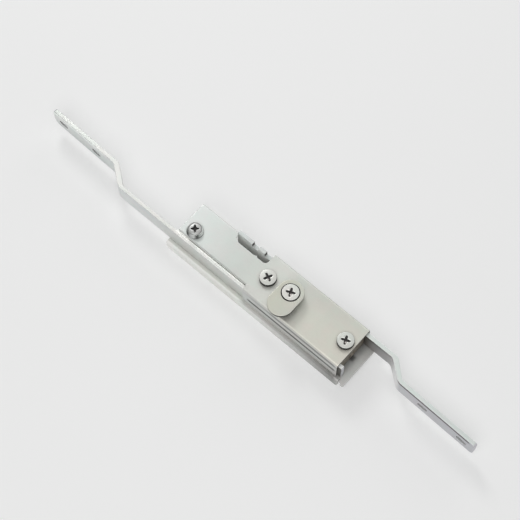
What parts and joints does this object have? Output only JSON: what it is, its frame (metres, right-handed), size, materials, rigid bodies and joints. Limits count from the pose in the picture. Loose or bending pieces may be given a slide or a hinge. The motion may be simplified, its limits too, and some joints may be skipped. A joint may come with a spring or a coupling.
{
  "type": "multipoint door lock",
  "caption": "Multipoint door lock with a turning lever and a toothed wheel that push two joggled flat rods out of a bent steel case.",
  "frame": {"origin": "middle of the overall box in plan, on the plane of the base plate's rims", "axes": "+X along the rods toward the end with the open case, +Y from the front wall to the back, +Z from the base plate to the lever"},
  "size_m": [0.3838, 0.0402, 0.0361],
  "materials": {
    "case_sheet": "satin zinc plating",
    "cover_sheet": "satin zinc plating",
    "block_iron": "oiled dark sintered iron",
    "turned_steel": "turned, thin zinc plating",
    "screw_steel": "satin zinc plating",
    "bright_screw": "bright nickel plating",
    "bearing_bronze": "sintered bronze, oiled",
    "pinion_steel": "stamped steel, oiled",
    "spring_steel": "black oxide",
    "lever_steel": "satin zinc plating, slightly darker",
    "rod_steel": "satin zinc plating, drawn along the bar"
  },
  "bodies": {
    "case": {"base_plate": "case_sheet", "cover": "cover_sheet", "left_guide_block": "block_iron", "right_guide_block": "block_iron", "tongue_post": "turned_steel", "left_block_rivets": "turned_steel", "right_block_rivets": "turned_steel", "left_cover_screw": "screw_steel", "right_cover_screw": "screw_steel", "tongue_screw": "bright_screw", "lower_bush": "bearing_bronze", "upper_bush": "bearing_bronze", "thrust_washer": "turned_steel"},
    "drive": {"drive_shaft": "turned_steel", "pinion": "pinion_steel", "retaining_ring": "spring_steel", "lever_hub": "turned_steel", "lever_plate": "lever_steel", "lever_screw": "screw_steel"},
    "left_rod": {"left_rod": "rod_steel"},
    "right_rod": {"right_rod": "rod_steel"}
  },
  "joints": [
    {"name": "lever_turn", "type": "hinge", "parent": "case", "child": "drive", "pos_m": [0.0329, 0, 0.0225], "axis": [0, 0, -1], "range_deg": [0, 180]},
    {"name": "left_rod_slide", "type": "slide", "parent": "case", "child": "left_rod", "axis": [-1, 0, 0], "range_m": [0, 0.04587]},
    {"name": "right_rod_slide", "type": "slide", "parent": "case", "child": "right_rod", "axis": [1, 0, 0], "range_m": [0, 0.04587]}
  ],
  "couplings": [
    {"joint": "lever_turn", "follows": "left_rod_slide", "rad_per_m": 68.493},
    {"joint": "right_rod_slide", "follows": "left_rod_slide", "ratio": 1}
  ]
}
